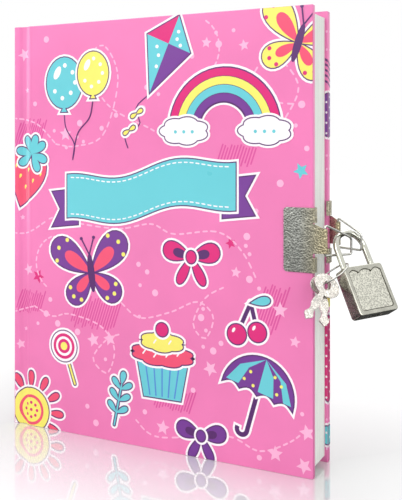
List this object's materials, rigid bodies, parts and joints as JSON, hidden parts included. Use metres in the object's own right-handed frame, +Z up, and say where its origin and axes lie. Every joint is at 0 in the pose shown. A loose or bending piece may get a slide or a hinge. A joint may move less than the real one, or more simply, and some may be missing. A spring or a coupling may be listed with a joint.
{
  "type": "lock diary",
  "caption": "Case-bound children's diary with hinged covers, turning leaves, and steel hasps and wire bails held shut by a small padlock with keys on a ring.",
  "frame": {"origin": "foot face of the back cover, in the middle of the book's width and of the back cover's thickness", "axes": "+Z up the spine from foot to head, -Y out of the front cover, -X out of the spine"},
  "size_m": [0.1917, 0.0406, 0.2],
  "materials": {
    "printed_wrap": "gloss laminated printed paper",
    "grey_board": "matt",
    "end_paper": "matt",
    "ruled_paper": "matt, ruled",
    "lining_cloth": "matt",
    "stippled_steel": "stippled plated sheet",
    "bail_wire": "plated wire",
    "polished_steel": "polished",
    "lock_steel": "plated, stippled panel",
    "key_steel": "matt stamped"
  },
  "bodies": {
    "text_block": {"spine_wrap": "printed_wrap", "spine_board": "grey_board", "spine_lining": "lining_cloth", "signature_1": "ruled_paper", "signature_2": "ruled_paper", "signature_3": "ruled_paper", "signature_4": "ruled_paper", "signature_5": "ruled_paper", "signature_6": "ruled_paper", "front_leaf_stubs": "ruled_paper", "back_leaf_stub": "ruled_paper"},
    "front_cover": {"front_cover_wrap": "printed_wrap", "front_cover_board": "grey_board", "front_pastedown": "end_paper", "front_hasp": "stippled_steel"},
    "back_cover": {"back_cover_wrap": "printed_wrap", "back_cover_board": "grey_board", "back_pastedown": "end_paper", "back_hasp": "stippled_steel"},
    "front_flyleaf": {"front_flyleaf": "end_paper"},
    "leaf_1": {"leaf_1": "ruled_paper"},
    "leaf_2": {"leaf_2": "ruled_paper"},
    "leaf_3": {"leaf_3": "ruled_paper"},
    "back_flyleaf": {"back_flyleaf": "end_paper"},
    "front_bail": {"front_bail": "bail_wire"},
    "back_bail": {"back_bail": "bail_wire"},
    "shackle": {"shackle": "polished_steel"},
    "padlock_case": {"padlock_front_shell": "lock_steel", "padlock_back_plate": "lock_steel", "latch_spring": "key_steel"},
    "lock_latch": {"lock_latch": "key_steel"},
    "key_ring": {"key_ring": "bail_wire"},
    "key_1": {"key_1": "key_steel"},
    "key_2": {"key_2": "key_steel"}
  },
  "joints": [
    {"name": "front_cover_hinge", "type": "hinge", "parent": "text_block", "child": "front_cover", "pos_m": [-0.07275, -0.02225, 0.1], "axis": [0, 0, -1], "range_deg": [0, 180]},
    {"name": "back_cover_hinge", "type": "hinge", "parent": "text_block", "child": "back_cover", "pos_m": [-0.07275, 0.00155, 0.1], "axis": [0, 0, 1], "range_deg": [0, 180]},
    {"name": "front_flyleaf_fold", "type": "hinge", "parent": "text_block", "child": "front_flyleaf", "pos_m": [-0.07175, -0.0189, 0.1], "axis": [0, 0, -1], "range_deg": [0, 98.2]},
    {"name": "leaf_1_fold", "type": "hinge", "parent": "text_block", "child": "leaf_1", "pos_m": [-0.07135, -0.0186, 0.1], "axis": [0, 0, -1], "range_deg": [0, 78.4]},
    {"name": "leaf_2_fold", "type": "hinge", "parent": "text_block", "child": "leaf_2", "pos_m": [-0.07095, -0.0183, 0.1], "axis": [0, 0, -1], "range_deg": [0, 58.6]},
    {"name": "leaf_3_fold", "type": "hinge", "parent": "text_block", "child": "leaf_3", "pos_m": [-0.07055, -0.018, 0.1], "axis": [0, 0, -1], "range_deg": [0, 38.8]},
    {"name": "back_flyleaf_fold", "type": "hinge", "parent": "text_block", "child": "back_flyleaf", "pos_m": [-0.07175, -0.0018, 0.1], "axis": [0, 0, 1], "range_deg": [0, 98.2]},
    {"name": "front_bail_pin", "type": "hinge", "parent": "front_cover", "child": "front_bail", "pos_m": [0.08365, -0.01965, 0.1], "axis": [0, 0, 1], "range_deg": [-3, 20]},
    {"name": "back_bail_pin", "type": "hinge", "parent": "back_cover", "child": "back_bail", "pos_m": [0.08365, -0.00105, 0.1], "axis": [0, 0, 1], "range_deg": [-9, 2]},
    {"name": "padlock_swing", "type": "hinge", "parent": "front_bail", "child": "shackle", "pos_m": [0.09213, -0.01042, 0.09679], "axis": [0.5842, 0.81, 0.0514], "range_deg": [-35, 3]},
    {"name": "padlock_release", "type": "slide", "parent": "shackle", "child": "padlock_case", "axis": [0.4321, -0.2568, -0.8645], "range_m": [0, 0.0085]},
    {"name": "latch_slide", "type": "slide", "parent": "padlock_case", "child": "lock_latch", "axis": [-0.5842, -0.81, -0.0514], "range_m": [0, 0.0026]},
    {"name": "key_ring_swing", "type": "hinge", "parent": "shackle", "child": "key_ring", "pos_m": [0.08795, -0.01621, 0.09642], "axis": [-0.4321, 0.2568, 0.8645], "range_deg": [-15, 20]},
    {"name": "key_1_swing", "type": "hinge", "parent": "key_ring", "child": "key_1", "pos_m": [0.08642, -0.02705, 0.08409], "axis": [0.8444, -0.3614, 0.3954], "range_deg": [-20, 12]},
    {"name": "key_2_swing", "type": "hinge", "parent": "key_ring", "child": "key_2", "pos_m": [0.08399, -0.02536, 0.08317], "axis": [0.6853, -0.7036, 0.188], "range_deg": [-20, 20]}
  ],
  "couplings": [
    {"joint": "front_flyleaf_fold", "follows": "front_cover_hinge", "ratio": 0.54},
    {"joint": "leaf_1_fold", "follows": "front_cover_hinge", "ratio": 0.43},
    {"joint": "leaf_2_fold", "follows": "front_cover_hinge", "ratio": 0.32},
    {"joint": "leaf_3_fold", "follows": "front_cover_hinge", "ratio": 0.21},
    {"joint": "back_flyleaf_fold", "follows": "back_cover_hinge", "ratio": 0.54},
    {"joint": "latch_slide", "follows": "padlock_release", "ratio": 0.3}
  ]
}
